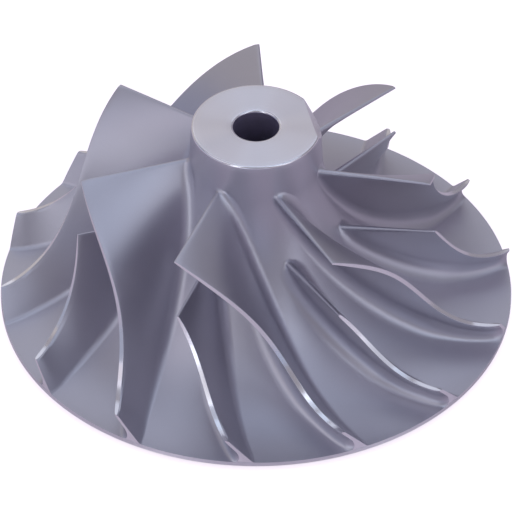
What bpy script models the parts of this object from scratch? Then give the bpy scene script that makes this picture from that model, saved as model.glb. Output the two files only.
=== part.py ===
# Compressor wheel of a turbocharger: a turned hub with a thin back disc, seven full blades and
# seven splitter blades. The real wheel is one milled piece. Here the hub and each blade are
# separate solids, so that the passages between the blades stay open.
# Metres, +Z along the axis from the back face to the nose, origin under the centre of the back.

import bpy
import bmesh
from math import atan2, comb, cos, pi, radians, sin, sqrt
from mathutils import Matrix, Vector

MM = 0.001

# Driving dimensions of the hub
WHEEL_RADIUS = 49.0 * MM
WHEEL_HEIGHT = 42.4 * MM
BORE_RADIUS = 4.3 * MM
BORE_CHAMFER = 0.5 * MM
NOSE_RADIUS = 12.2 * MM
NOSE_CHAMFER = 0.4 * MM
BOSS_RADIUS = 12.0 * MM
BOSS_DROP = 0.6 * MM
RELIEF_DEPTH = 0.7 * MM
RELIEF_SHOULDER = 0.8 * MM
RELIEF_WIDTH = 26.0 * MM
RIM_THICKNESS = 1.0 * MM
RIM_CHAMFER = 0.15 * MM

# Flat ground on the nose when the wheel is balanced
BALANCE_FLAT_DISTANCE = 10.5 * MM
BALANCE_FLAT_AZIMUTH = 13.0
BALANCE_FLAT_SLOPE = 32.0
BALANCE_FLAT_DEPTH = 10.0 * MM

# Meridional lines: radius and height at the inlet, and how full the quarter arc is
HUB_INLET_RADIUS = 12.6 * MM
HUB_INLET_HEIGHT = 35.2 * MM
HUB_FULLNESS = (0.92, 1.05)
SHROUD_INLET_RADIUS = 33.6 * MM
SHROUD_INLET_HEIGHT = 34.7 * MM
SHROUD_OUTLET_HEIGHT = 6.8 * MM
SHROUD_FULLNESS = (1.20, 1.04)

# Blades: count, azimuth of the first leading edge and the wrap angle along hub and shroud
BLADE_PAIRS = 7
HUB_START_AZIMUTH = 80.9
HUB_WRAP = (0.0, 47.0, 49.9, 59.4)
SHROUD_START_AZIMUTH = 88.9
SHROUD_WRAP = (0.0, 36.1, 34.4, 41.8, 46.0)
SPLITTER_START_HUB = 0.27
SPLITTER_START_SHROUD = 0.30
ROOT_HALF_THICKNESS = (0.95 * MM, 1.0 * MM, 1.0 * MM, 0.6 * MM)
TIP_HALF_THICKNESS = 0.42 * MM
LEADING_EDGE_SHARE = 0.6
LEADING_EDGE_REACH = 0.12
TRAILING_EDGE_SHARE = 0.55
TRAILING_EDGE_REACH = 0.07
INLET_FILLET = 3.0 * MM
OUTLET_FILLET = 1.7 * MM
SEAT_GAP = 0.3 * MM

# Facets
HUB_SEGMENTS = 84
HUB_CURVE_STEPS = 20
BLADE_STATIONS = 14
FILLET_ROWS = (0.0, 0.3, 1.0)
SPAN_ROWS = (0.55, 1.0)
SLOPE_STEP = 0.02
SEAT_SAMPLES = 48
SEAT_REFINEMENTS = 24
SEAT_NARROWING = 0.6
SHARP_ANGLE = radians(35)

ALUMINIUM = (0.60, 0.60, 0.65, 1.0)
RIM_BOTTOM = BOSS_DROP
RIM_TOP = BOSS_DROP + RIM_THICKNESS


def clear_scene():
    for item in list(bpy.data.objects):
        bpy.data.objects.remove(item, do_unlink=True)


def aluminium(name, roughness):
    material = bpy.data.materials.new(name)
    material.use_nodes = True
    shader = material.node_tree.nodes["Principled BSDF"]
    shader.inputs["Base Color"].default_value = ALUMINIUM
    shader.inputs["Metallic"].default_value = 0.9
    shader.inputs["Roughness"].default_value = roughness
    return material


def finished_mesh(name, mesh):
    """Turns a bmesh into a smooth shaded mesh with its faces pointing out."""
    bmesh.ops.recalc_face_normals(mesh, faces=mesh.faces)
    data = bpy.data.meshes.new(name)
    mesh.to_mesh(data)
    mesh.free()
    data.shade_smooth()
    data.set_sharp_from_angle(angle=SHARP_ANGLE)
    return data


def bezier(values, t):
    degree = len(values) - 1
    return sum(comb(degree, i) * (1 - t) ** (degree - i) * t ** i * v for i, v in enumerate(values))


def quarter_arc(start, end, fullness, t):
    """Radius and height on a quarter arc that leaves start along the axis and meets end flat."""
    angle = min(max(t, 0.0), 1.0) * pi / 2
    radius = start[0] + (end[0] - start[0]) * (1 - cos(angle)) ** fullness[0]
    height = start[1] - (start[1] - end[1]) * sin(angle) ** fullness[1]
    return radius, height


def hub_line(t):
    """The hub surface: t from -1 at the nose through 0 at the blade inlet to 1 at the rim."""
    inlet = (HUB_INLET_RADIUS, HUB_INLET_HEIGHT)
    if t < 0:
        radius = inlet[0] + (NOSE_RADIUS - inlet[0]) * -t
        height = inlet[1] + (WHEEL_HEIGHT - inlet[1]) * -t
        return radius, height
    return quarter_arc(inlet, (WHEEL_RADIUS, RIM_TOP), HUB_FULLNESS, t)


def shroud_line(t):
    inlet = (SHROUD_INLET_RADIUS, SHROUD_INLET_HEIGHT)
    return quarter_arc(inlet, (WHEEL_RADIUS, SHROUD_OUTLET_HEIGHT), SHROUD_FULLNESS, t)


def at_azimuth(radius, height, azimuth):
    return Vector((radius * cos(azimuth), radius * sin(azimuth), height))


def hub_point(t):
    return at_azimuth(*hub_line(t), radians(HUB_START_AZIMUTH + bezier(HUB_WRAP, t)))


def shroud_point(t):
    return at_azimuth(*shroud_line(t), radians(SHROUD_START_AZIMUTH + bezier(SHROUD_WRAP, t)))


def nearest_station(line, radius, height):
    """The parameter of the meridional line point that lies nearest to a radius and height."""
    def distance(t):
        r, z = line(t)
        return (r - radius) ** 2 + (z - height) ** 2
    best = min((-1 + 2 * i / SEAT_SAMPLES for i in range(SEAT_SAMPLES + 1)), key=distance)
    step = 2 / SEAT_SAMPLES
    for _ in range(SEAT_REFINEMENTS):
        step *= SEAT_NARROWING
        best = min((max(best - step, -1.0), best, min(best + step, 1.0)), key=distance)
    return best


def above_hub(point, height):
    """Moves a point in its own meridional plane to a given height above the hub surface."""
    radius = sqrt(point.x ** 2 + point.y ** 2)
    t = nearest_station(hub_line, radius, point.z)
    before = hub_line(max(t - SLOPE_STEP, -1.0))
    after = hub_line(min(t + SLOPE_STEP, 1.0))
    run = Vector((after[0] - before[0], after[1] - before[1])).normalized()
    foot = hub_line(t)
    lifted = (foot[0] - run.y * height, foot[1] + run.x * height)
    return at_azimuth(lifted[0], lifted[1], atan2(point.y, point.x))


def on_shroud(point):
    """Moves a point in its own meridional plane onto the turned shroud surface."""
    radius = sqrt(point.x ** 2 + point.y ** 2)
    t = max(nearest_station(shroud_line, radius, point.z), 0.0)
    return at_azimuth(*shroud_line(t), atan2(point.y, point.x))


def on_rim(point):
    """Moves a point along its radius onto the rim cylinder."""
    scale = WHEEL_RADIUS / sqrt(point.x ** 2 + point.y ** 2)
    return Vector((point.x * scale, point.y * scale, point.z))


def fillet_flare(fillet, height):
    """Sideways reach of a round root fillet at a height above the hub."""
    if height >= fillet:
        return 0.0
    return fillet - sqrt(fillet ** 2 - (fillet - height) ** 2)


def camber_point(start, along, up):
    """Middle of the blade's thickness: along from the leading edge, up from the hub to the shroud."""
    t_hub = start[0] + (1 - start[0]) * along
    t_shroud = start[1] + (1 - start[1]) * along
    return hub_point(t_hub).lerp(shroud_point(t_shroud), up)


def across_blade(start, along, up):
    """Unit direction through the blade's thickness."""
    behind = camber_point(start, max(along - SLOPE_STEP, 0.0), up)
    ahead = camber_point(start, min(along + SLOPE_STEP, 1.0), up)
    span = camber_point(start, along, 1.0) - camber_point(start, along, 0.0)
    return (ahead - behind).cross(span).normalized()


def blade_half_thickness(along, up):
    """Thick at the root, thin under the shroud, and thinned towards both ends."""
    leading = max(1 - along / LEADING_EDGE_REACH, 0.0) ** 2 * (1 - LEADING_EDGE_SHARE)
    trailing = max(1 - (1 - along) / TRAILING_EDGE_REACH, 0.0) ** 2 * (1 - TRAILING_EDGE_SHARE)
    root = bezier(ROOT_HALF_THICKNESS, along)
    return (root + (TIP_HALF_THICKNESS - root) * up) * (1 - leading) * (1 - trailing)


def skin_point(start, along, up, side, height, fillet):
    """A point on one side of the blade. Height above the hub is given only within the fillet."""
    middle = camber_point(start, along, up)
    direction = across_blade(start, along, up)
    at_outlet = along == 1.0
    if at_outlet:
        outward = Vector((middle.x, middle.y, 0.0)).normalized()
        direction = direction - outward * direction.dot(outward)
        direction = direction / direction.length_squared
    half = blade_half_thickness(along, up)
    if height is not None:
        half += fillet_flare(fillet, height)
    point = middle + direction * half * side
    if height is not None:
        point = above_hub(point, height)
    elif up == 1.0:
        point = on_shroud(point)
    return on_rim(point) if at_outlet else point


def blade_section(start, along):
    """One closed loop of points round the blade, up one side from the foot and down the other."""
    length = (camber_point(start, along, 1.0) - camber_point(start, along, 0.0)).length
    fillet = INLET_FILLET + (OUTLET_FILLET - INLET_FILLET) * along
    heights = [SEAT_GAP + (fillet - SEAT_GAP) * share for share in FILLET_ROWS]
    rows = [(height / length, height) for height in heights] + [(up, None) for up in SPAN_ROWS]
    rising = [skin_point(start, along, up, 1, height, fillet) for up, height in rows]
    falling = [skin_point(start, along, up, -1, height, fillet) for up, height in rows[::-1]]
    return rising + falling


def blade_mesh(name, start):
    mesh = bmesh.new()
    loops = []
    for i in range(BLADE_STATIONS + 1):
        section = blade_section(start, i / BLADE_STATIONS)
        loops.append([mesh.verts.new(point) for point in section])
    count = len(loops[0])
    for near, far in zip(loops, loops[1:]):
        for i in range(count):
            j = (i + 1) % count
            mesh.faces.new((near[i], near[j], far[j], far[i]))
    for loop in (loops[0], loops[-1]):
        for i in range(count // 2 - 1):
            mesh.faces.new((loop[i], loop[i + 1], loop[count - 2 - i], loop[count - 1 - i]))
    return finished_mesh(name, mesh)


def hub_profile():
    """The closed half section of the hub, from the bore round the back, rim and nose."""
    relief_inner = BOSS_RADIUS + RELIEF_SHOULDER
    points = [
        (BORE_RADIUS, BORE_CHAMFER),
        (BORE_RADIUS + BORE_CHAMFER, 0.0),
        (BOSS_RADIUS, 0.0),
        (relief_inner, RIM_BOTTOM + RELIEF_DEPTH),
        (relief_inner + RELIEF_WIDTH, RIM_BOTTOM),
        (WHEEL_RADIUS - RIM_CHAMFER, RIM_BOTTOM),
        (WHEEL_RADIUS, RIM_BOTTOM + RIM_CHAMFER),
    ]
    for i in range(HUB_CURVE_STEPS + 1):
        points.append(hub_line(1 - i / HUB_CURVE_STEPS))
    nose_drop = NOSE_CHAMFER / (WHEEL_HEIGHT - HUB_INLET_HEIGHT)
    points.append(hub_line(-1 + nose_drop))
    points.append((NOSE_RADIUS - NOSE_CHAMFER, WHEEL_HEIGHT))
    points.append((BORE_RADIUS + BORE_CHAMFER, WHEEL_HEIGHT))
    points.append((BORE_RADIUS, WHEEL_HEIGHT - BORE_CHAMFER))
    return points


def balance_cutter():
    """A hidden block beside the nose whose inner face is the balance flat."""
    size = 2 * NOSE_RADIUS
    bpy.ops.mesh.primitive_cube_add(size=size)
    cutter = bpy.context.object
    cutter.name = "balance_cutter"
    turned = Matrix.Rotation(radians(BALANCE_FLAT_AZIMUTH), 4, "Z")
    corner = Matrix.Translation((BALANCE_FLAT_DISTANCE, 0, WHEEL_HEIGHT))
    leaned = Matrix.Rotation(radians(-BALANCE_FLAT_SLOPE), 4, "Y")
    beside = Matrix.Translation((size / 2, 0, size / 2 - BALANCE_FLAT_DEPTH))
    cutter.matrix_world = turned @ corner @ leaned @ beside
    cutter.hide_render = True
    cutter.display_type = "WIRE"
    return cutter


def make_hub():
    mesh = bmesh.new()
    verts = [mesh.verts.new((r, 0.0, z)) for r, z in hub_profile()]
    edges = [mesh.edges.new((a, b)) for a, b in zip(verts, verts[1:] + verts[:1])]
    bmesh.ops.spin(mesh, geom=verts + edges, cent=(0, 0, 0), axis=(0, 0, 1), dvec=(0, 0, 0),
                   angle=2 * pi, steps=HUB_SEGMENTS, use_merge=True, use_duplicate=False)
    hub = bpy.data.objects.new("hub", finished_mesh("hub", mesh))
    bpy.context.collection.objects.link(hub)
    hub.data.materials.append(aluminium("hub_aluminium", 0.42))
    flat = hub.modifiers.new("balance_flat", "BOOLEAN")
    flat.operation = "DIFFERENCE"
    flat.solver = "EXACT"
    flat.object = balance_cutter()
    return hub


def make_blades(prefix, start, first_turn, parent):
    data = blade_mesh(prefix, start)
    data.materials.append(aluminium(f"{prefix}_aluminium", 0.38))
    for i in range(BLADE_PAIRS):
        blade = bpy.data.objects.new(f"{prefix}_{i + 1}", data)
        bpy.context.collection.objects.link(blade)
        blade.rotation_euler = (0, 0, first_turn + i * 2 * pi / BLADE_PAIRS)
        blade.parent = parent


clear_scene()
wheel = bpy.data.objects.new("wheel", None)
bpy.context.collection.objects.link(wheel)
make_hub().parent = wheel
make_blades("full_blade", (0.0, 0.0), 0.0, wheel)
make_blades("splitter_blade", (SPLITTER_START_HUB, SPLITTER_START_SHROUD), pi / BLADE_PAIRS, wheel)
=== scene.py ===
# %% [markdown]
# # A compressor wheel
#
# The wheel sits on the shaft of a turbocharger and throws air outwards. It is one piece of
# aluminium: a hub with a bore, a thin disc behind, seven full blades and seven shorter splitter
# blades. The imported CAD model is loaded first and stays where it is. Every piece below is built
# in metres in the same place, so nothing has to be fitted afterwards.

# %% Load the frame
import bpy
import bmesh
from math import atan2, comb, cos, pi, radians, sin, sqrt, tan
from mathutils import Matrix, Quaternion, Vector


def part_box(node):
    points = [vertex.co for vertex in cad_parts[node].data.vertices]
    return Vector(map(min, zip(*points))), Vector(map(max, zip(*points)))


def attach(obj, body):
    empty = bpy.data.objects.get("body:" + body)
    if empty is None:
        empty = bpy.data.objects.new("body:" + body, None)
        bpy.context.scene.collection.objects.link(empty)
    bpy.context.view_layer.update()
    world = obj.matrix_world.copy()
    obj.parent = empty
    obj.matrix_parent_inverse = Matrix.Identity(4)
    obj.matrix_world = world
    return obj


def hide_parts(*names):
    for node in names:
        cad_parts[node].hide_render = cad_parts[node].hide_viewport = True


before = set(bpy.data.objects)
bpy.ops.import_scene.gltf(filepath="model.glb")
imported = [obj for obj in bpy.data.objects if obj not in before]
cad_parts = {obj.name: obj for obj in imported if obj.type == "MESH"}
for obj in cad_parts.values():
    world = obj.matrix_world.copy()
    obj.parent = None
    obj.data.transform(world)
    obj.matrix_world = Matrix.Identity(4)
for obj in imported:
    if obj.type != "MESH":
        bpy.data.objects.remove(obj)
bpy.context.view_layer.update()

MM = 0.001

# %% [markdown]
# ## From points to a piece
#
# Each piece starts as a bmesh, Blender's mesh while it is being edited. A mesh could also be
# given as plain lists of points and faces, but a bmesh keeps neighbours together and can turn
# every face outwards by itself. Smooth shading hides the facets, and edges that turn by more
# than a set angle stay crisp, which is what separates a milled corner from a milled curve.

# %% A helper that finishes a piece
CRISP_ANGLE = radians(38)


def finished_piece(name, mesh, materials):
    bmesh.ops.recalc_face_normals(mesh, faces=mesh.faces)
    data = bpy.data.meshes.new(name)
    mesh.to_mesh(data)
    mesh.free()
    data.shade_smooth()
    data.set_sharp_from_angle(angle=CRISP_ANGLE)
    for material in materials:
        data.materials.append(material)
    piece = bpy.data.objects.new(name, data)
    bpy.context.scene.collection.objects.link(piece)
    return piece


def triangles(piece):
    return sum(len(face.vertices) - 2 for face in piece.data.polygons)


# %% [markdown]
# ## Sizes of the hub
#
# The box of the CAD hub gives the wheel's outer radius and its height, and the other sizes are
# those that the model was built with. Only the mouth of the bore and the boss at the back get
# slightly different corners here. A turned part is described best by its half section: the line
# that the lathe tool follows. The line from the nose to the rim is a straight taper down to where
# the blades begin, and then a quarter arc that ends flat at the rim.

# %% Hub sizes
BOX_DIGITS = 5
hub_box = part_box("hub")
WHEEL_RADIUS = round(hub_box[1][0], BOX_DIGITS)
WHEEL_HEIGHT = round(hub_box[1][2], BOX_DIGITS)
BORE_RADIUS = 4.3 * MM
BORE_ROUNDING = 0.45 * MM
NOSE_RADIUS = 12.2 * MM
NOSE_ROUNDING = 0.4 * MM
BOSS_RADIUS = 12.0 * MM
BOSS_DROP = 0.6 * MM
BOSS_CHAMFER = 0.2 * MM
RELIEF_DEPTH = 0.7 * MM
RELIEF_SHOULDER = 0.8 * MM
RELIEF_WIDTH = 26.0 * MM
RIM_THICKNESS = 1.0 * MM
RIM_CHAMFER = 0.15 * MM
RIM_TOP = BOSS_DROP + RIM_THICKNESS
HUB_INLET = (12.6 * MM, 35.2 * MM)
HUB_FULLNESS = (0.92, 1.05)


def quarter_arc(start, end, fullness, t):
    """Radius and height on a quarter arc that leaves start along the axis and meets end flat."""
    angle = min(max(t, 0.0), 1.0) * pi / 2
    radius = start[0] + (end[0] - start[0]) * (1 - cos(angle)) ** fullness[0]
    height = start[1] - (start[1] - end[1]) * sin(angle) ** fullness[1]
    return radius, height


def hub_line(t):
    """The hub surface: t from -1 at the nose through 0 at the blade inlet to 1 at the rim."""
    if t < 0:
        radius = HUB_INLET[0] + (NOSE_RADIUS - HUB_INLET[0]) * -t
        height = HUB_INLET[1] + (WHEEL_HEIGHT - HUB_INLET[1]) * -t
        return radius, height
    return quarter_arc(HUB_INLET, (WHEEL_RADIUS, RIM_TOP), HUB_FULLNESS, t)


print("hub line ends:", [round(v / MM, 2) for v in (*hub_line(-1), *hub_line(1))], "mm")

# %% [markdown]
# ## The turned hub
#
# A Screw modifier or a spin would turn the half section into a solid as well. The rings are made
# directly here, because each stretch of the section then keeps its own material: a satin milled
# curve between the blades, turned faces on the nose, on the rim and behind, a bored hole, and
# bright rounded corners round the nose and at the mouth of the bore.

# %% Straight and rounded stretches
def rounded_corner(centre, radius, first, last, steps):
    """Points on an arc in the half section, with angles in degrees."""
    angles = [radians(first + (last - first) * i / steps) for i in range(steps + 1)]
    return [(centre[0] + radius * cos(a), centre[1] + radius * sin(a)) for a in angles]


def straight(start, end, steps):
    """Evenly spaced points after start and up to end."""
    return [(start[0] + (end[0] - start[0]) * i / steps, start[1] + (end[1] - start[1]) * i / steps)
            for i in range(1, steps + 1)]


# %% Half section of the hub
CURVE_STEPS = 72
NOSE_STEPS = 6
ROUNDING_STEPS = 4
FACE_STEPS = 5
SATIN, TURNED, BORED, EDGE = 0, 1, 2, 3


def back_of_disc(bore_mouth):
    """From the bore over the thrust boss, its shoulder and the shallow relief to the rim."""
    relief = (BOSS_RADIUS + RELIEF_SHOULDER, BOSS_DROP + RELIEF_DEPTH)
    relief_end = (relief[0] + RELIEF_WIDTH, BOSS_DROP)
    back = [(bore_mouth, 0.0)]
    back += straight(back[-1], (BOSS_RADIUS - BOSS_CHAMFER, 0.0), FACE_STEPS)
    back += [(BOSS_RADIUS, BOSS_CHAMFER), relief]
    back += straight(relief, relief_end, FACE_STEPS)
    back += straight(relief_end, (WHEEL_RADIUS - RIM_CHAMFER, BOSS_DROP), FACE_STEPS)
    return back


def hub_section():
    """Stretches of the closed half section, each with the material of its faces."""
    bore_mouth = BORE_RADIUS + BORE_ROUNDING
    rim = [(WHEEL_RADIUS, BOSS_DROP + RIM_CHAMFER), (WHEEL_RADIUS, RIM_TOP)]
    curve = [hub_line(1 - i / CURVE_STEPS) for i in range(1, CURVE_STEPS + 1)]
    nose_stop = 1 - NOSE_ROUNDING / (WHEEL_HEIGHT - HUB_INLET[1])
    nose = [hub_line(-nose_stop * i / NOSE_STEPS) for i in range(1, NOSE_STEPS + 1)]
    nose_centre = (NOSE_RADIUS - NOSE_ROUNDING, WHEEL_HEIGHT - NOSE_ROUNDING)
    edge = rounded_corner(nose_centre, NOSE_ROUNDING, 0, 90, ROUNDING_STEPS)[1:]
    face = straight(edge[-1], (bore_mouth, WHEEL_HEIGHT), FACE_STEPS)
    mouth_centre = (bore_mouth, WHEEL_HEIGHT - BORE_ROUNDING)
    mouth = rounded_corner(mouth_centre, BORE_ROUNDING, 90, 180, ROUNDING_STEPS)[1:]
    bore = straight(mouth[-1], (BORE_RADIUS, BORE_ROUNDING), FACE_STEPS)
    return [(back_of_disc(bore_mouth), TURNED), (rim, TURNED), (curve, SATIN), (nose, SATIN),
            (edge, EDGE), (face, TURNED), (mouth, EDGE), (bore, BORED)]


section = hub_section()
print("points in the half section:", sum(len(points) for points, _ in section))

# %% Turn the section
HUB_SEGMENTS = 280


def ring(mesh, radius, height):
    turns = [2 * pi * i / HUB_SEGMENTS for i in range(HUB_SEGMENTS)]
    return [mesh.verts.new((radius * cos(a), radius * sin(a), height)) for a in turns]


def turned_hub(materials):
    """Joins one ring per point of the section. The last faces close the bore's lower mouth."""
    mesh = bmesh.new()
    rings = [ring(mesh, *point) for stretch, _ in section for point in stretch]
    kinds = [kind for stretch, kind in section for _ in stretch]
    for lower, upper, kind in zip(rings, rings[1:] + rings[:1], kinds[1:] + [BORED]):
        for j in range(HUB_SEGMENTS):
            k = (j + 1) % HUB_SEGMENTS
            mesh.faces.new((lower[j], lower[k], upper[k], upper[j])).material_index = kind
    return finished_piece("turned_hub", mesh, materials)


# %% [markdown]
# The nose carries one plain flat, ground at a slope when the wheel was balanced. A cutter block
# and an exact Boolean give it crisp edges. The result is then kept as the mesh itself, and the
# block is removed, so that the piece needs nothing else to be right.

# %% Grind the balance flat
BALANCE_FLAT_DISTANCE = 10.5 * MM
BALANCE_FLAT_AZIMUTH = radians(13.0)
BALANCE_FLAT_SLOPE = radians(32.0)
BALANCE_FLAT_DEPTH = 10.0 * MM


def flat_cutter(material):
    """A block beside the nose, whose inner face is the flat."""
    size = 2 * NOSE_RADIUS
    mesh = bmesh.new()
    bmesh.ops.create_cube(mesh, size=size)
    turned = Matrix.Rotation(BALANCE_FLAT_AZIMUTH, 4, "Z")
    corner = Matrix.Translation((BALANCE_FLAT_DISTANCE, 0, WHEEL_HEIGHT))
    leaned = Matrix.Rotation(-BALANCE_FLAT_SLOPE, 4, "Y")
    beside = Matrix.Translation((size / 2, 0, size / 2 - BALANCE_FLAT_DEPTH))
    bmesh.ops.transform(mesh, matrix=turned @ corner @ leaned @ beside, verts=mesh.verts)
    return finished_piece("flat_cutter", mesh, [material])


def grind_balance_flat(piece, material):
    cutter = flat_cutter(material)
    cut = piece.modifiers.new("balance_flat", "BOOLEAN")
    cut.operation = "DIFFERENCE"
    cut.solver = "EXACT"
    cut.material_mode = "TRANSFER"
    cut.object = cutter
    ready = piece.evaluated_get(bpy.context.evaluated_depsgraph_get())
    cut_mesh = bpy.data.meshes.new_from_object(ready)
    piece.modifiers.clear()
    piece.data = cut_mesh
    cut_mesh.set_sharp_from_angle(angle=CRISP_ANGLE)
    bpy.data.objects.remove(cutter)


# %% [markdown]
# ## Lines that shape a blade
#
# A blade of this kind is a ruled surface: straight lines that run from a line on the hub to a
# line under the housing, called the shroud. Both lines are given by how far they wrap round the
# axis on their way from the inlet to the rim. A Bezier curve with four or five wrap angles gives
# a smooth wrap that can still turn back towards the radius near the rim.

# %% Hub line and shroud line of a blade
SHROUD_INLET = (33.6 * MM, 34.7 * MM)
SHROUD_OUTLET_HEIGHT = 6.8 * MM
SHROUD_FULLNESS = (1.20, 1.04)
HUB_START_AZIMUTH = 80.9
HUB_WRAP = (0.0, 47.0, 49.9, 59.4)
SHROUD_START_AZIMUTH = 88.9
SHROUD_WRAP = (0.0, 36.1, 34.4, 41.8, 46.0)
FULL_START = (0.0, 0.0)
SPLITTER_START = (0.27, 0.30)


def bezier(values, t):
    degree = len(values) - 1
    return sum(comb(degree, i) * (1 - t) ** (degree - i) * t ** i * v for i, v in enumerate(values))


def shroud_line(t):
    return quarter_arc(SHROUD_INLET, (WHEEL_RADIUS, SHROUD_OUTLET_HEIGHT), SHROUD_FULLNESS, t)


def at_azimuth(radius, height, azimuth):
    return Vector((radius * cos(azimuth), radius * sin(azimuth), height))


def camber_point(start, along, up):
    """Middle of a blade's thickness, from its leading edge to the rim and from hub to shroud."""
    t_hub = start[0] + (1 - start[0]) * along
    t_shroud = start[1] + (1 - start[1]) * along
    hub_azimuth = radians(HUB_START_AZIMUTH + bezier(HUB_WRAP, t_hub))
    shroud_azimuth = radians(SHROUD_START_AZIMUTH + bezier(SHROUD_WRAP, t_shroud))
    low = at_azimuth(*hub_line(t_hub), hub_azimuth)
    high = at_azimuth(*shroud_line(t_shroud), shroud_azimuth)
    return low.lerp(high, up)


def span_length(start, along):
    return (camber_point(start, along, 1.0) - camber_point(start, along, 0.0)).length


print("leading edge of a full blade:", round(span_length(FULL_START, 0.0) / MM, 1), "mm long")

# %% [markdown]
# ## Helpers that keep points on the turned surfaces
#
# The foot of a blade has to lie on the hub, its outer edge on the turned shroud surface and its
# trailing edge on the rim. Each helper finds the nearest point of the right line and puts the
# blade's point there, without moving it round the axis. Blender could find the nearest point of
# a mesh instead, but its facets would show in the edges.

# %% Nearest point of a line in the half section
SEAT_SAMPLES = 48
SEAT_REFINEMENTS = 20
SEAT_NARROWING = 0.6
SLOPE_STEP = 0.01
HUB_FIRST = -1.0
SHROUD_FIRST = 0.0


def nearest_station(line, first, radius, height):
    """Looks at evenly spaced stations from first to 1, and then closer and closer."""
    def distance(t):
        r, z = line(t)
        return (r - radius) ** 2 + (z - height) ** 2
    step = (1 - first) / SEAT_SAMPLES
    best = min((first + step * i for i in range(SEAT_SAMPLES + 1)), key=distance)
    for _ in range(SEAT_REFINEMENTS):
        step *= SEAT_NARROWING
        best = min((max(best - step, first), best, min(best + step, 1.0)), key=distance)
    return best


def seat(line, first, point):
    """A point's radius, the foot of its perpendicular on the line, and the line's way there."""
    radius = sqrt(point.x ** 2 + point.y ** 2)
    t = nearest_station(line, first, radius, point.z)
    before = line(max(t - SLOPE_STEP, first))
    after = line(min(t + SLOPE_STEP, 1.0))
    way = Vector((after[0] - before[0], after[1] - before[1])).normalized()
    return radius, line(t), way


# %% Points on the hub, the shroud and the rim
def above_hub(point, height):
    """Moves a point onto the hub, or to a small height above it."""
    _, foot, way = seat(hub_line, HUB_FIRST, point)
    return at_azimuth(foot[0] - way.y * height, foot[1] + way.x * height, atan2(point.y, point.x))


def height_over_hub(point):
    radius, foot, way = seat(hub_line, HUB_FIRST, point)
    return (point.z - foot[1]) * way.x - (radius - foot[0]) * way.y


def on_shroud(point, drop):
    """Moves a point onto the shroud surface, or to a small depth under it."""
    _, foot, way = seat(shroud_line, SHROUD_FIRST, point)
    return at_azimuth(foot[0] + way.y * drop, foot[1] - way.x * drop, atan2(point.y, point.x))


def on_cylinder(point, radius):
    scale = radius / sqrt(point.x ** 2 + point.y ** 2)
    return Vector((point.x * scale, point.y * scale, point.z))


middle = camber_point(FULL_START, 0.5, 0.5)
print("the middle of a blade stands", round(height_over_hub(middle) / MM, 1), "mm over the hub")

# %% [markdown]
# ## One blade, column by column
#
# The blade's skin is made of columns of points that stand side by side round its outline: up one
# flank, round the nose of the leading edge and down the other flank. A column starts inside the
# hub, climbs the root fillet, follows the flank as a straight line and ends with a small rounding
# under the turned outer edge. A Subdivision Surface could smooth a coarse cage instead, but it
# would pull the outer edge off the turned outline.

# %% How thick the blade is
ROOT_HALF_THICKNESS = (0.95, 1.0, 1.0, 0.6)
TIP_HALF_THICKNESS = (0.42, 0.38, 0.52, 0.52)
LEADING_EDGE_SHARE = 0.6
LEADING_EDGE_REACH = 0.12
TRAILING_EDGE_SHARE = 0.55
TRAILING_EDGE_REACH = 0.07


def half_thickness(along, up):
    """Thick at the root, thin under the shroud, and thinned towards both ends."""
    root = bezier(ROOT_HALF_THICKNESS, along)
    tip = bezier(TIP_HALF_THICKNESS, along)
    leading = max(1 - along / LEADING_EDGE_REACH, 0.0) ** 2 * (1 - LEADING_EDGE_SHARE)
    trailing = max(1 - (1 - along) / TRAILING_EDGE_REACH, 0.0) ** 2 * (1 - TRAILING_EDGE_SHARE)
    return (root + (tip - root) * up) * (1 - leading) * (1 - trailing) * MM


print("thickness at mid span:", round(2 * half_thickness(0.5, 0.5) / MM, 2), "mm")

# %% The bare skin of the blade
def directions(start, along, up):
    """Unit vectors along the flow and through the blade's thickness."""
    behind = camber_point(start, max(along - SLOPE_STEP, 0.0), up)
    ahead = camber_point(start, min(along + SLOPE_STEP, 1.0), up)
    span = camber_point(start, along, 1.0) - camber_point(start, along, 0.0)
    flow = (ahead - behind).normalized()
    return flow, flow.cross(span).normalized()


def skin(start, along, turn, up):
    """A point on the bare blade and the way out of it.

    Turn is -90 degrees on the open flank, 90 on the overhung one, and in between on the nose.
    """
    flow, through = directions(start, along, up)
    thickness = half_thickness(along, up)
    middle = camber_point(start, along, up)
    if along == 0.0:
        middle = middle + flow * thickness
    out = through * sin(turn) - flow * cos(turn)
    if along == 1.0:
        radial = Vector((middle.x, middle.y, 0.0)).normalized()
        out = out - radial * out.dot(radial)
        out = out / out.length_squared
    return middle + out * thickness, out


# %% [markdown]
# ## Root fillets
#
# A ball-nosed cutter leaves a round corner between the flank and the hub. A ball touches both
# surfaces equally far from the sharp corner that they would make, and the smaller the angle
# between them, the further away. The arc between the two contact points is drawn as a rational
# Bezier curve with the sharp corner as its middle point, which makes it a true circular arc. Each
# side has its own radius, which changes along the blade: on the overhung side it is small at the
# inlet and largest past the middle.

# %% The sharp corner and the size of its fillet
OVERHUNG_FILLET = (1.4, 1.0, 4.2, 3.0, 1.7)
OPEN_FILLET = (2.2, 2.0, 2.4, 2.2, 1.2)
NOSE_FILLET_SHARE = 0.4
NOSE_FILLET_REACH = 0.08
PROBE = 0.4 * MM
CORNER_STEPS = 3


def corner_share(start, along, turn):
    """Share of the span at which the bare skin would meet the hub."""
    share = 0.0
    height = height_over_hub(skin(start, along, turn, share)[0])
    for _ in range(CORNER_STEPS):
        trial = share + PROBE / span_length(start, along)
        rise = height_over_hub(skin(start, along, turn, trial)[0]) - height
        share -= height / rise * (trial - share)
        height = height_over_hub(skin(start, along, turn, share)[0])
    return share


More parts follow.
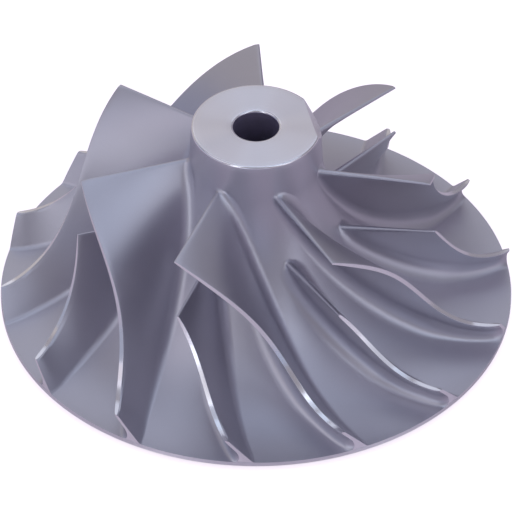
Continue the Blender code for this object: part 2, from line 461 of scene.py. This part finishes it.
def fillet_radius(start, along, turn):
    """Radius on the open and the overhung side, smaller where the cutter comes in at the nose."""
    station = start[0] + (1 - start[0]) * along
    side = (1 + sin(turn)) / 2
    radius = bezier(OVERHUNG_FILLET, station) * side + bezier(OPEN_FILLET, station) * (1 - side)
    eased = max(1 - along / NOSE_FILLET_REACH, 0.0) ** 2 * (1 - NOSE_FILLET_SHARE)
    return radius * (1 - eased) * MM


halfway = [fillet_radius(FULL_START, 0.5, side * pi / 2) for side in (-1, 1)]
print("fillets halfway along:", [round(radius / MM, 2) for radius in halfway], "mm")

# %% One fillet
FILLET_ROWS = 12
FILLET_MOST = 0.55


def round_arc(foot, corner, head, weight):
    """Points of a rational Bezier curve that bends towards the corner."""
    points = []
    for i in range(FILLET_ROWS + 1):
        s = i / FILLET_ROWS
        shares = ((1 - s) ** 2, 2 * s * (1 - s) * weight, s ** 2)
        total = sum(shares)
        points.append((foot * shares[0] + corner * shares[1] + head * shares[2]) / total)
    return points


def fillet_arc(start, along, turn):
    """Points from the hub to the flank, and the share of the span where the flank begins."""
    low = corner_share(start, along, turn)
    corner, out = skin(start, along, turn, low)
    probe = PROBE / span_length(start, along)
    climb = skin(start, along, turn, low + probe)[0] - corner
    edge_way = directions(start, along, low)[0] if along > 0.0 else out.cross(climb).normalized()
    away = above_hub(corner + out.normalized() * PROBE, 0.0) - corner
    climb = climb - edge_way * climb.dot(edge_way)
    away = away - edge_way * away.dot(edge_way)
    opening = climb.angle(away)
    reach = fillet_radius(start, along, turn) / tan(opening / 2)
    high = min(low + reach / climb.length * probe, low + FILLET_MOST)
    reach = min(reach, (high - low) / probe * climb.length)
    head = skin(start, along, turn, high)[0]
    foot = above_hub(corner + out.normalized() * reach, 0.0)
    return round_arc(foot, corner, head, sin(opening / 2)), high, out


# %% [markdown]
# The lowest points of a column run on from the fillet along the hub and sink into it by a hair,
# so that no gap and no step shows. The highest points step inwards and break the corner. The last
# one lies on the turned edge itself: a narrow border keeps the smooth shading of the corner from
# spreading over the edge, which then shines as one flat strip.

# %% One column of points
SPAN_ROWS = 16
EDGE_ROWS = 3
EDGE_ROUNDING = 0.05 * MM
EDGE_BORDER = 0.04 * MM
FOOT_SINK = 0.04 * MM
FOOT_SPREAD = 0.50 * MM
RIM_SINK = 0.15 * MM


def broken_edge(tip, out):
    """The rounding under the turned edge, and the narrow border on the edge itself."""
    points = []
    for i in range(EDGE_ROWS + 1):
        angle = pi / 2 * i / EDGE_ROWS
        inwards = tip - out * EDGE_ROUNDING * (1 - cos(angle))
        points.append(on_shroud(inwards, EDGE_ROUNDING * (1 - sin(angle))))
    points.append(on_shroud(tip - out * (EDGE_ROUNDING + EDGE_BORDER), 0.0))
    return points


def column(start, along, turn):
    fillet, begin, out = fillet_arc(start, along, turn)
    foot = above_hub(fillet[0] + out.normalized() * FOOT_SPREAD, -FOOT_SINK)
    end = 1 - EDGE_ROUNDING / span_length(start, along)
    shares = [begin + (end - begin) * i / SPAN_ROWS for i in range(1, SPAN_ROWS)]
    span = [skin(start, along, turn, share)[0] for share in shares]
    points = fillet + span + broken_edge(*skin(start, along, turn, 1.0))
    if along == 1.0:
        foot = on_cylinder(foot, WHEEL_RADIUS - RIM_SINK)
        points = [on_cylinder(point, WHEEL_RADIUS) for point in points]
    return [foot] + points


print("points in a column:", len(column(FULL_START, 0.5, pi / 2)))

# %% All columns of a blade
STATIONS = 56
STATION_CROWDING = 1.25
NOSE_COLUMNS = 10
NOSE_CLEARANCE = 1.15


def first_station(start):
    """Where along the blade the flanks begin, just behind the round nose."""
    stretch = (camber_point(start, SLOPE_STEP, 0.5) - camber_point(start, 0.0, 0.5)).length
    return SLOPE_STEP * half_thickness(0.0, 0.0) * NOSE_CLEARANCE / stretch


def columns(start):
    """All columns from the trailing edge along one flank, round the nose and back."""
    begin = first_station(start)
    shares = [(i / STATIONS) ** STATION_CROWDING for i in range(STATIONS + 1)]
    places = [min(begin + (1 - begin) * share, 1.0) for share in shares]
    falling = [column(start, along, -pi / 2) for along in places[::-1]]
    turns = [-pi / 2 + pi * i / NOSE_COLUMNS for i in range(1, NOSE_COLUMNS)]
    nose = [column(start, 0.0, turn) for turn in turns]
    rising = [column(start, along, pi / 2) for along in places]
    return falling + nose + rising


# %% [markdown]
# The columns are joined into skin, and three strips close the blade: the turned outer edge, the
# trailing edge on the rim, and the foot inside the hub. The outer and trailing edges get the
# lathe-cut finish, because both were cut on the lathe after the passages had been milled. All
# blades of a kind are alike, so the rows are worked out once and turned into each place. Copies
# of one mesh would be lighter still, but each blade stands for a CAD node of its own, and its
# place has to be in its mesh.

# %% Join the columns into a blade
FLANK, LATHE_CUT = 0, 1


def blade_rows(start):
    """The columns turned into closed rows, from the foot up to the turned edge."""
    return list(zip(*columns(start)))


def ladder(mesh, loop, material_index):
    """Closes a loop of points across the blade, from the trailing edge to the nose."""
    count = STATIONS + 1
    for i in range(count - 1):
        face = mesh.faces.new((loop[i], loop[i + 1], loop[-2 - i], loop[-1 - i]))
        face.material_index = material_index
    mesh.faces.new(loop[count - 1:len(loop) - count + 1]).material_index = material_index


def blade_piece(name, rows, turn, materials):
    mesh = bmesh.new()
    turned = Matrix.Rotation(turn, 3, "Z")
    loops = [[mesh.verts.new(turned @ point) for point in row] for row in rows]
    for low, high in zip(loops, loops[1:]):
        finish = LATHE_CUT if high is loops[-1] else FLANK
        for i in range(len(low) - 1):
            mesh.faces.new((low[i], low[i + 1], high[i + 1], high[i])).material_index = finish
        mesh.faces.new((low[-1], low[0], high[0], high[-1])).material_index = LATHE_CUT
    ladder(mesh, loops[0], FLANK)
    ladder(mesh, loops[-1], LATHE_CUT)
    return finished_piece(name, mesh, materials)


# %% [markdown]
# ## Node groups for the finishes
#
# Two finishes cover the wheel, satin grain and the marks of the lathe, and several metals use
# them with their own values. Each finish is therefore a node group, built once, with named
# sockets: where on the metal it is, how fine it is, and between which colours and which
# roughnesses it varies. It puts out a colour, a roughness and a height for the bump.

# %% An empty group
NUMBER, COLOUR, VECTOR = "NodeSocketFloat", "NodeSocketColor", "NodeSocketVector"
FINISH_INPUTS = {"Place": VECTOR, "Dull": COLOUR, "Bright": COLOUR,
                 "Smoothest": NUMBER, "Roughest": NUMBER}
FINISH_OUTPUTS = {"Color": COLOUR, "Roughness": NUMBER, "Height": NUMBER}


def new_group(name, scales):
    """An empty group, with its inputs and outputs as its own nodes see them."""
    group = bpy.data.node_groups.new(name, "ShaderNodeTree")
    inputs = FINISH_INPUTS | dict.fromkeys(scales, NUMBER)
    for label, kind in inputs.items():
        group.interface.new_socket(label, in_out="INPUT", socket_type=kind)
    for label, kind in FINISH_OUTPUTS.items():
        group.interface.new_socket(label, in_out="OUTPUT", socket_type=kind)
    given = group.nodes.new("NodeGroupInput").outputs
    wanted = group.nodes.new("NodeGroupOutput").inputs
    return group, given, wanted


# %% Nodes that the groups share
MIX_FACTOR, MIX_FIRST, MIX_SECOND, MIX_RESULT = 0, 6, 7, 2


def give(tree, socket, value):
    """Sets a socket to a number, or links another node's output to it."""
    if isinstance(value, (int, float)):
        socket.default_value = value
    else:
        tree.links.new(value, socket)


def math_node(tree, operation, *values):
    node = tree.nodes.new("ShaderNodeMath")
    node.operation = operation
    for socket, value in zip(node.inputs, values):
        give(tree, socket, value)
    return node.outputs[0]


def spread_between(tree, mask, low, high):
    """A value between low and high that follows a mask from 0 to 1."""
    node = tree.nodes.new("ShaderNodeMapRange")
    for label, value in (("Value", mask), ("To Min", low), ("To Max", high)):
        give(tree, node.inputs[label], value)
    return node.outputs["Result"]


def put_out(group, given, wanted, mask, height):
    """Colour and roughness follow the mask, and the bump follows the height."""
    mix = group.nodes.new("ShaderNodeMix")
    mix.data_type = "RGBA"
    group.links.new(mask, mix.inputs[MIX_FACTOR])
    group.links.new(given["Dull"], mix.inputs[MIX_FIRST])
    group.links.new(given["Bright"], mix.inputs[MIX_SECOND])
    group.links.new(mix.outputs[MIX_RESULT], wanted["Color"])
    roughness = spread_between(group, mask, given["Smoothest"], given["Roughest"])
    group.links.new(roughness, wanted["Roughness"])
    group.links.new(height, wanted["Height"])
    print("group:", group.name, "with", len(group.nodes), "nodes")


# %% [markdown]
# ## Satin grain
#
# Milled aluminium that has been blasted or washed looks soft: a fine grain breaks up every
# reflection, and faint clouds make it a little duller in some places. Both come from noise in the
# metal itself, so the pattern runs on from the hub into the blades. A picture could do the same,
# but noise has no seams and no limit to its size.

# %% Build the grain group
GRAIN_DETAIL = 2.0
CLOUD_DETAIL = 3.0
GRAIN_SHARE = 0.35
CLOUD_SHARE = 0.65


def noise(group, place, scale, detail):
    node = group.nodes.new("ShaderNodeTexNoise")
    node.inputs["Detail"].default_value = detail
    group.links.new(place, node.inputs["Vector"])
    group.links.new(scale, node.inputs["Scale"])
    return node.outputs["Fac"]


def grain_group():
    group, given, wanted = new_group("satin_grain", ["Grains per metre", "Clouds per metre"])
    clouds = noise(group, given["Place"], given["Clouds per metre"], CLOUD_DETAIL)
    grain = noise(group, given["Place"], given["Grains per metre"], GRAIN_DETAIL)
    cloud_part = math_node(group, "MULTIPLY", clouds, CLOUD_SHARE)
    both = math_node(group, "MULTIPLY_ADD", grain, GRAIN_SHARE, cloud_part)
    put_out(group, given, wanted, both, grain)
    return group


satin_grain = grain_group()

# %% [markdown]
# ## Marks of the lathe
#
# A lathe tool leaves a fine spiral that looks like rings. The rings lie at equal distances from
# the axis on a face, and at equal heights on a cylinder. Noise read along one line gives rings of
# uneven strength, as on real metal, where a regular wave would look printed. The line is the
# distance from the axis plus the height, which works on faces, cylinders and curves alike.

# %% Build the rings group
RING_DETAIL = 3.0


def rings_group():
    group, given, wanted = new_group("turned_rings", ["Rings per metre"])
    place = group.nodes.new("ShaderNodeSeparateXYZ")
    group.links.new(given["Place"], place.inputs[0])
    x, y, z = place.outputs
    from_axis_squared = math_node(group, "MULTIPLY_ADD", y, y, math_node(group, "MULTIPLY", x, x))
    along_tool = math_node(group, "ADD", math_node(group, "SQRT", from_axis_squared), z)
    rings = group.nodes.new("ShaderNodeTexNoise")
    rings.noise_dimensions = "1D"
    rings.inputs["Detail"].default_value = RING_DETAIL
    group.links.new(along_tool, rings.inputs["W"])
    group.links.new(given["Rings per metre"], rings.inputs["Scale"])
    put_out(group, given, wanted, rings.outputs["Fac"], rings.outputs["Fac"])
    return group


turned_rings = rings_group()

# %% [markdown]
# ## Metals
#
# The Principled shader stays in each material, and the groups feed its colour, its roughness and
# a very shallow bump. Bare aluminium is a metal, so its colour tints what it reflects. The cool
# tint here is that of the photograph.
#
# On the flat nose the rings are too fine to see one by one, but together they smear each
# highlight across themselves, so that light fans out from the bore. The shader's anisotropy does
# this along a tangent that runs round the axis. It is turned by a quarter, because the highlight
# is drawn out across the rings and not along them.

# %% A metal from a group
QUARTER_TURN = 0.25


def brush_round_axis(tree, shader, strength):
    around = tree.nodes.new("ShaderNodeTangent")
    around.direction_type = "RADIAL"
    around.axis = "Z"
    tree.links.new(around.outputs["Tangent"], shader.inputs["Tangent"])
    shader.inputs["Anisotropic"].default_value = strength
    shader.inputs["Anisotropic Rotation"].default_value = QUARTER_TURN


def metal(name, group, values, bump_depth, anisotropy=0.0):
    material = bpy.data.materials.new(name)
    material.use_nodes = True
    tree = material.node_tree
    shader = tree.nodes["Principled BSDF"]
    shader.inputs["Metallic"].default_value = 1.0
    if anisotropy:
        brush_round_axis(tree, shader, anisotropy)
    place = tree.nodes.new("ShaderNodeTexCoord")
    finish = tree.nodes.new("ShaderNodeGroup")
    finish.node_tree = group
    tree.links.new(place.outputs["Object"], finish.inputs["Place"])
    for label, value in values.items():
        finish.inputs[label].default_value = value
    bump = tree.nodes.new("ShaderNodeBump")
    bump.inputs["Distance"].default_value = bump_depth
    tree.links.new(finish.outputs["Height"], bump.inputs["Height"])
    tree.links.new(finish.outputs["Color"], shader.inputs["Base Color"])
    tree.links.new(finish.outputs["Roughness"], shader.inputs["Roughness"])
    tree.links.new(bump.outputs["Normal"], shader.inputs["Normal"])
    return material


# %% The finishes of the wheel
satin_metal = metal("satin_milled_metal", satin_grain, {
    "Grains per metre": 5200.0, "Clouds per metre": 60.0,
    "Dull": (0.57, 0.56, 0.61, 1), "Bright": (0.69, 0.68, 0.74, 1),
    "Smoothest": 0.34, "Roughest": 0.46}, 0.010 * MM)
edge_metal = metal("lathe_cut_edge_metal", turned_rings, {
    "Rings per metre": 6000.0,
    "Dull": (0.94, 0.93, 0.96, 1), "Bright": (1.00, 0.99, 1.00, 1),
    "Smoothest": 0.15, "Roughest": 0.21}, 0.004 * MM)
turned_metal = metal("turned_face_metal", turned_rings, {
    "Rings per metre": 3500.0,
    "Dull": (0.96, 0.94, 0.98, 1), "Bright": (1.00, 0.98, 1.00, 1),
    "Smoothest": 0.32, "Roughest": 0.37}, 0.0015 * MM, anisotropy=0.92)
bored_metal = metal("bored_hole_metal", turned_rings, {
    "Rings per metre": 2500.0,
    "Dull": (0.66, 0.62, 0.75, 1), "Bright": (0.78, 0.74, 0.88, 1),
    "Smoothest": 0.30, "Roughest": 0.44}, 0.006 * MM)
print("metals:", [item.name for item in (satin_metal, edge_metal, turned_metal, bored_metal)])

# %% [markdown]
# ## Put the wheel together
#
# Each piece rides on the wheel's only body and takes the place of its CAD node, which is hidden.
# The real wheel is one piece, and all could be joined into one mesh, but then a blade could no
# longer stand for its own CAD node.

# %% The hub
hub = turned_hub([satin_metal, turned_metal, bored_metal, edge_metal])
grind_balance_flat(hub, turned_metal)
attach(hub, "root")
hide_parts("hub")
print("hub:", triangles(hub), "triangles")

# %% The blades
BLADE_PAIRS = 7
PITCH = 2 * pi / BLADE_PAIRS

for kind, start, first_turn in (("full_blade", FULL_START, 0.0),
                                ("splitter_blade", SPLITTER_START, PITCH / 2)):
    rows = blade_rows(start)
    for i in range(BLADE_PAIRS):
        turn = first_turn + i * PITCH
        blade = blade_piece(f"milled_{kind}_{i + 1}", rows, turn, [satin_metal, edge_metal])
        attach(blade, "root")
        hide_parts(f"{kind}_{i + 1}")
    print(kind, "x", BLADE_PAIRS, "of", triangles(blade), "triangles each")

# %% [markdown]
# ## Floor
#
# The wheel was photographed on white. The floor is a plain pale sheet that the camera sees as
# evenly white, like a light table. The metal sees it dimmer: the Light Path node tells whether a
# ray comes straight from the camera, and the floor glows for such rays alone. Without that, the
# white floor would shine into every passage and wash out the metal. A backdrop that curves up
# behind the wheel would also do, but a level sheet is enough for a camera that looks down.

# %% A pale floor
FLOOR_SIZE = 6.0
FLOOR_DROP = 0.2 * MM
FLOOR_PAINT = (0.88, 0.77, 0.83, 1)
FLOOR_ROUGHNESS = 0.3
FLOOR_GLOW = (1.0, 0.95, 1.02, 1)
FLOOR_GLOW_SEEN = 0.75
FLOOR_GLOW_REFLECTED = 0.0


def make_floor():
    mesh = bmesh.new()
    bmesh.ops.create_grid(mesh, x_segments=1, y_segments=1, size=FLOOR_SIZE / 2)
    paint = bpy.data.materials.new("pale_floor")
    paint.use_nodes = True
    tree = paint.node_tree
    shader = tree.nodes["Principled BSDF"]
    shader.inputs["Base Color"].default_value = FLOOR_PAINT
    shader.inputs["Roughness"].default_value = FLOOR_ROUGHNESS
    shader.inputs["Emission Color"].default_value = FLOOR_GLOW
    seen = tree.nodes.new("ShaderNodeLightPath").outputs["Is Camera Ray"]
    glow = spread_between(tree, seen, FLOOR_GLOW_REFLECTED, FLOOR_GLOW_SEEN)
    tree.links.new(glow, shader.inputs["Emission Strength"])
    floor = finished_piece("floor", mesh, [paint])
    floor.location.z = -FLOOR_DROP
    return floor


pale_floor = make_floor()
print("floor:", round(pale_floor.dimensions.x, 2), "m wide")

# %% [markdown]
# ## Lamps
#
# Metal shows mostly what is around it, so the lamps are chosen for how they look in the metal.
# They are plain glowing panels that stand round the wheel like the walls of a light tent, with
# darker gaps between them. Each is given by its direction, by the angles it fills as seen from
# the wheel, by how far it leans, by how bright its face looks, and by its tint. Its power then
# follows from its size: brightness times pi times area. Three slim strips draw the white lines on
# the blade edges, and a dim even light from all round fills what the panels leave dark. A picture
# of a studio wrapped round the scene could do the same, but panels can be moved one by one.

# %% One lamp panel
LAMP_DISTANCE = 1.2


def panel(name, at, fills, brightness, tint, lean=0):
    """A rectangular lamp that faces the wheel.

    It stands at an azimuth and an elevation and fills a width and a height, all in degrees.
    """
    lamp = bpy.data.lights.new(name, "AREA")
    lamp.shape = "RECTANGLE"
    lamp.size, lamp.size_y = (2 * LAMP_DISTANCE * tan(radians(angle / 2)) for angle in fills)
    lamp.energy = brightness * pi * lamp.size * lamp.size_y
    lamp.color = tint
    holder = bpy.data.objects.new(name, lamp)
    bpy.context.scene.collection.objects.link(holder)
    turn, lift = (radians(angle) for angle in at)
    direction = Vector((cos(turn) * cos(lift), sin(turn) * cos(lift), sin(lift)))
    holder.location = direction * LAMP_DISTANCE
    leaned = Quaternion((0, 0, 1), radians(lean))
    holder.rotation_euler = (direction.to_track_quat("Z", "Y") @ leaned).to_euler()
    holder.visible_camera = False


# %% All lamps and the world
PLAIN = (0.95, 0.98, 1.07)
ROSY = (1.00, 0.95, 1.05)
COOL = (0.86, 0.97, 1.17)
BLUE = (0.76, 0.97, 1.27)
DEEP_BLUE = (0.50, 0.91, 1.59)
WARM = (1.11, 1.03, 0.86)

panel("left_wall", at=(185, 14), fills=(60, 40), brightness=0.09, tint=DEEP_BLUE)
panel("left_high", at=(196, 46), fills=(38, 30), brightness=0.42, tint=ROSY)
panel("overhead_left", at=(220, 70), fills=(44, 26), brightness=0.20, tint=BLUE)
panel("front_left_strip", at=(236, 28), fills=(13, 70), brightness=0.76, tint=PLAIN)
panel("front_left_low", at=(240, 4), fills=(34, 20), brightness=0.49, tint=COOL)
panel("front_low", at=(270, 4), fills=(40, 18), brightness=0.14, tint=DEEP_BLUE)
panel("front_right_wall", at=(328, 20), fills=(36, 48), brightness=0.26, tint=COOL)
panel("front_right_high", at=(330, 55), fills=(44, 30), brightness=0.37, tint=BLUE)
panel("front_right_strip", at=(312, 30), fills=(10, 72), brightness=0.62, tint=PLAIN, lean=20)
panel("right_low_strip", at=(326, 2), fills=(10, 24), brightness=0.13, tint=ROSY)
panel("back_wall", at=(118, 20), fills=(67, 50), brightness=0.17, tint=WARM)
panel("back_high", at=(80, 56), fills=(58, 28), brightness=0.36, tint=COOL)
panel("top", at=(60, 84), fills=(30, 22), brightness=0.46, tint=BLUE)

WORLD_STRENGTH = 0.29
WORLD_TINT = (0.98, 0.93, 1.09, 1)
world = bpy.data.worlds.new("plain_studio")
world.use_nodes = True
sky = world.node_tree.nodes["Background"]
sky.inputs["Color"].default_value = WORLD_TINT
sky.inputs["Strength"].default_value = WORLD_STRENGTH
bpy.context.scene.world = world
bpy.context.scene.view_settings.view_transform = "Standard"

# %% [markdown]
# ## Camera
#
# The photograph was taken with a long lens from well above the wheel. The place and the lens
# below were found by matching the rim, the nose, the bore and the blade tips. A constraint could
# aim the camera at the wheel instead, but a plain place and tilt keep the view as it was matched.

# %% Place the camera
CAMERA_PLACE = (0.0, -0.8885, 0.7882)
CAMERA_TILT_DOWN = 41.219
CAMERA_LENS = 434.3
SENSOR_WIDTH = 36.0
FARTHEST_SEEN = 20.0

lens = bpy.data.cameras.new("camera")
lens.lens = CAMERA_LENS
lens.sensor_width = SENSOR_WIDTH
lens.clip_end = FARTHEST_SEEN
camera = bpy.data.objects.new("camera", lens)
camera.location = CAMERA_PLACE
camera.rotation_euler = (radians(90 - CAMERA_TILT_DOWN), 0, 0)
bpy.context.scene.collection.objects.link(camera)
bpy.context.scene.camera = camera
print("camera distance:", round(camera.location.length, 3), "m")
